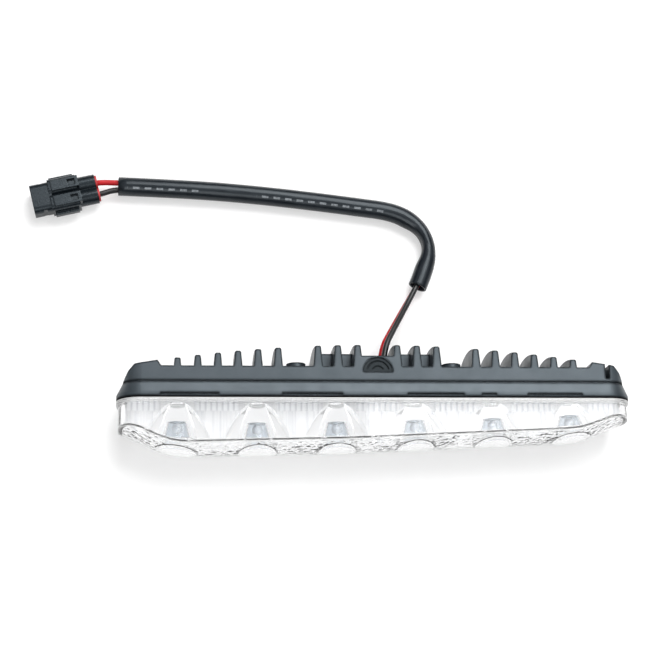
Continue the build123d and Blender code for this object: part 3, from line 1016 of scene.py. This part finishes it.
@dataclass
class Lamp:
    """The rigid pieces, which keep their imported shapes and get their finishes."""

    cone_count: int = 6
    cone_spigot: float = 0.0014
    dish_share: float = 0.46
    bead_stand: float = 0.0022
    finishes: dict = field(
        default_factory=lambda: {
            "lens_seal": Moulded((0.55, 0.56, 0.57, 1.0), (0.66, 0.67, 0.68, 1.0), (0.5, 0.65)),
            "cable_grommet": Moulded(
                (0.003, 0.004, 0.005, 1.0),
                (0.007, 0.009, 0.010, 1.0),
                (0.42, 0.55),
                shine=0.22,
                edge=0.0004,
                sheen=BLUE_SHEEN,
            ),
            "thermal_pad": Moulded((0.42, 0.45, 0.5, 1.0), (0.5, 0.53, 0.57, 1.0), (0.7, 0.8)),
            "board_screws": Moulded(
                (0.5, 0.5, 0.5, 1.0), (0.66, 0.66, 0.67, 1.0), (0.24, 0.36), metallic=1.0
            ),
            "driver_chip": Moulded(
                (0.015, 0.015, 0.016, 1.0), (0.03, 0.03, 0.031, 1.0), (0.45, 0.6)
            ),
            "protection_diode": Moulded(
                (0.015, 0.015, 0.016, 1.0), (0.028, 0.028, 0.03, 1.0), (0.45, 0.6)
            ),
            "resistors": Moulded((0.02, 0.02, 0.025, 1.0), (0.05, 0.05, 0.055, 1.0), (0.4, 0.55)),
            "capacitor": Moulded(
                (0.6, 0.6, 0.61, 1.0), (0.72, 0.72, 0.73, 1.0), (0.28, 0.4), metallic=1.0
            ),
            "connector_housing": Moulded(
                (0.003, 0.005, 0.007, 1.0),
                (0.007, 0.010, 0.013, 1.0),
                (0.2, 0.3),
                shine=0.34,
                edge=0.0004,
                sheen=BLUE_SHEEN,
            ),
            "wire_seals": Moulded(
                (0.36, 0.015, 0.018, 1.0), (0.48, 0.022, 0.024, 1.0), (0.42, 0.55)
            ),
            "terminals": Moulded(
                (0.62, 0.6, 0.55, 1.0), (0.74, 0.72, 0.68, 1.0), (0.22, 0.34), metallic=1.0
            ),
        }
    )

    def dress(self, nodes: dict) -> None:
        """Gives every rigid solid its finish.

        Args:
            nodes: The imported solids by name.
        """
        self._wear(nodes["housing"], PowderCoat().make("powder_coat"))
        self._wear(nodes["lens_cover"], ClearPlastic().make("cover_plastic"))
        self._wear(nodes["reflector"], BrightCoating().make("reflector_film"))
        self._wear(nodes["led_board"], PrintedBoard().make("board_lacquer"))
        self._wear(nodes["rim_gasket"], FacedRubber().make("gasket_rubber"))
        for i in range(1, self.cone_count + 1):
            low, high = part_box(f"collimator_{i}")
            dish_floor = low.y + self.dish_share * (high.y - self.cone_spigot - low.y)
            bead = Vector(((low.x + high.x) / 2, dish_floor - self.bead_stand, (low.z + high.z) / 2))
            cone = ConePlastic().make(f"cone_plastic_{i}", bead, dish_floor)
            self._wear(nodes[f"collimator_{i}"], cone)
            low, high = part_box(f"led_{i}")
            self._wear(nodes[f"led_{i}"], LightDome().make(f"light_dome_{i}", (low.x + high.x) / 2))
        for name, finish in self.finishes.items():
            self._wear(nodes[name], finish.make(f"{name}_finish"))

    def _wear(self, node: bpy.types.Object, material: bpy.types.Material) -> None:
        """Puts a finish on one solid."""
        node.material_slots[0].material = material
        LOG.info("finish of %s", node.name)


@dataclass(frozen=True)
class Softbox:
    """One soft square lamp, with its side in metres and its power in watts."""

    name: str
    place: Point
    target: Point
    size: float
    power: float

    def hang(self) -> None:
        """Hangs the lamp and turns it to its target."""
        data = bpy.data.lights.new(self.name, "AREA")
        data.size = self.size
        data.energy = self.power
        lamp = bpy.data.objects.new(self.name, data)
        bpy.context.scene.collection.objects.link(lamp)
        lamp.location = self.place
        way = Vector(self.target) - Vector(self.place)
        lamp.rotation_euler = way.to_track_quat("-Z", "Y").to_euler()


@dataclass
class Studio:
    """A pale table, soft lamps, a white room and the camera."""

    eye: Point = (-0.07027, -0.11987, 0.53588)
    azimuth: float = 70.462
    elevation: float = -73.241
    roll: float = 19.206
    lens: float = 82.954
    sensor: float = 36.0
    table_half: float = 3.0
    table_drop: float = 0.0002
    table_colour: Colour = (0.6, 0.6, 0.6, 1.0)
    table_lift: float = 0.4
    table_through: float = 0.8
    table_far: Span = (0.35, 1.6)
    far_lift: float = 0.55
    fill: float = 0.25
    skyline: Span = (0.3, 0.8)
    mirrored: Span = (0.06, 0.8)
    bounces: int = 40
    softboxes: tuple[Softbox, ...] = (
        Softbox("back_softbox", (0.25, 0.68, 0.9), (0.0, 0.02, 0.0), 0.8, 16.5),
        Softbox("right_softbox", (0.46, 0.1, 0.9), (0.46, 0.1, 0.0), 0.7, 2.4),
        Softbox("front_softbox", (-0.3, -0.6, 0.85), (0.0, 0.0, 0.01), 0.6, 5.0),
    )

    def build(self) -> None:
        """Sets the table, the room, the lamps and the camera."""
        self._table()
        self._room()
        for softbox in self.softboxes:
            softbox.hang()
        self._camera()
        bpy.context.scene.view_settings.view_transform = "Standard"
        light_paths = bpy.context.scene.cycles
        light_paths.max_bounces = self.bounces
        light_paths.transmission_bounces = self.bounces

    def _table(self) -> None:
        """Makes the table top."""
        shape = bmesh.new()
        bmesh.ops.create_grid(shape, x_segments=2, y_segments=2, size=self.table_half)
        bmesh.ops.translate(shape, verts=shape.verts, vec=(0, 0, -self.table_drop))
        mesh = bpy.data.meshes.new("table_top")
        shape.to_mesh(mesh)
        shape.free()
        table = bpy.data.objects.new("table_top", mesh)
        bpy.context.scene.collection.objects.link(table)
        mesh.materials.append(self._table_white())

    def _table_white(self) -> bpy.types.Material:
        """The table's white, lifted where it is seen, far off and through clear plastic.

        Returns:
            The material.
        """
        canvas = finish_canvas("table_white")
        path = canvas.add("ShaderNodeLightPath").outputs
        seen = path["Is Camera Ray"]
        for ray in ("Is Glossy Ray", "Is Transmission Ray"):
            seen = canvas.math("MAXIMUM", seen, path[ray])
        near_lift = canvas.math("MULTIPLY", seen, self.table_lift)
        far = canvas.span(canvas.measure("LENGTH", canvas.place), self.table_far, (0.0, self.far_lift))
        far_lift = canvas.math("MULTIPLY", path["Is Camera Ray"], far)
        lift = canvas.add("ShaderNodeEmission")
        canvas.fill(lift, {"Strength": canvas.math("ADD", near_lift, far_lift)})
        matt = canvas.fill(canvas.add("ShaderNodeBsdfDiffuse"), {"Color": self.table_colour})
        lifted = canvas.add("ShaderNodeAddShader")
        canvas.fill(lifted, {0: matt.outputs[0], 1: lift.outputs[0]})
        white = canvas.add("ShaderNodeEmission")
        through = canvas.math("MULTIPLY", path["Is Transmission Ray"], self.table_through)
        shown = canvas.add("ShaderNodeMixShader")
        canvas.fill(shown, {0: through, 1: lifted.outputs[0], 2: white.outputs[0]})
        canvas.close(shown)
        return canvas.owner

    def _room(self) -> None:
        """Makes a white room that gives a soft fill, and has a dim skyline where it is mirrored."""
        world = bpy.data.worlds.new("white_room")
        bpy.context.scene.world = world
        canvas = Canvas(world)
        path = canvas.add("ShaderNodeLightPath").outputs
        rise = canvas.axes(canvas.coordinates["Generated"])["Z"]
        mirrored = canvas.span(rise, self.skyline, self.mirrored)
        level = canvas.span(path["Is Glossy Ray"], RISE, (self.fill, mirrored))
        for ray in ("Is Transmission Ray", "Is Camera Ray"):
            level = canvas.span(path[ray], RISE, (level, 1.0))
        back = canvas.add("ShaderNodeBackground")
        canvas.close(canvas.fill(back, {"Color": WHITE, "Strength": level}), "ShaderNodeOutputWorld")

    def _camera(self) -> None:
        """Sets the camera where the photograph was taken from."""
        data = bpy.data.cameras.new("camera")
        data.lens = self.lens
        data.sensor_width = self.sensor
        camera = bpy.data.objects.new("camera", data)
        bpy.context.scene.collection.objects.link(camera)
        az, el, roll = (math.radians(a) for a in (self.azimuth, self.elevation, self.roll))
        ahead = Vector((math.cos(el) * math.cos(az), math.cos(el) * math.sin(az), math.sin(el)))
        level = ahead.cross(Vector((0, 0, 1))).normalized()
        upright = level.cross(ahead)
        right = math.cos(roll) * level + math.sin(roll) * upright
        up = math.cos(roll) * upright - math.sin(roll) * level
        turned = Matrix((right, up, -ahead)).transposed().to_4x4()
        camera.matrix_world = Matrix.Translation(self.eye) @ turned
        bpy.context.scene.camera = camera


def main() -> None:
    """Builds the lamp's looks in order."""
    logging.basicConfig(level=logging.INFO, format="%(name)s: %(message)s")
    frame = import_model()
    Studio().build()
    Lead().build(frame["nodes"])
    Lamp().dress(frame["nodes"])


if __name__ == "__main__":
    main()
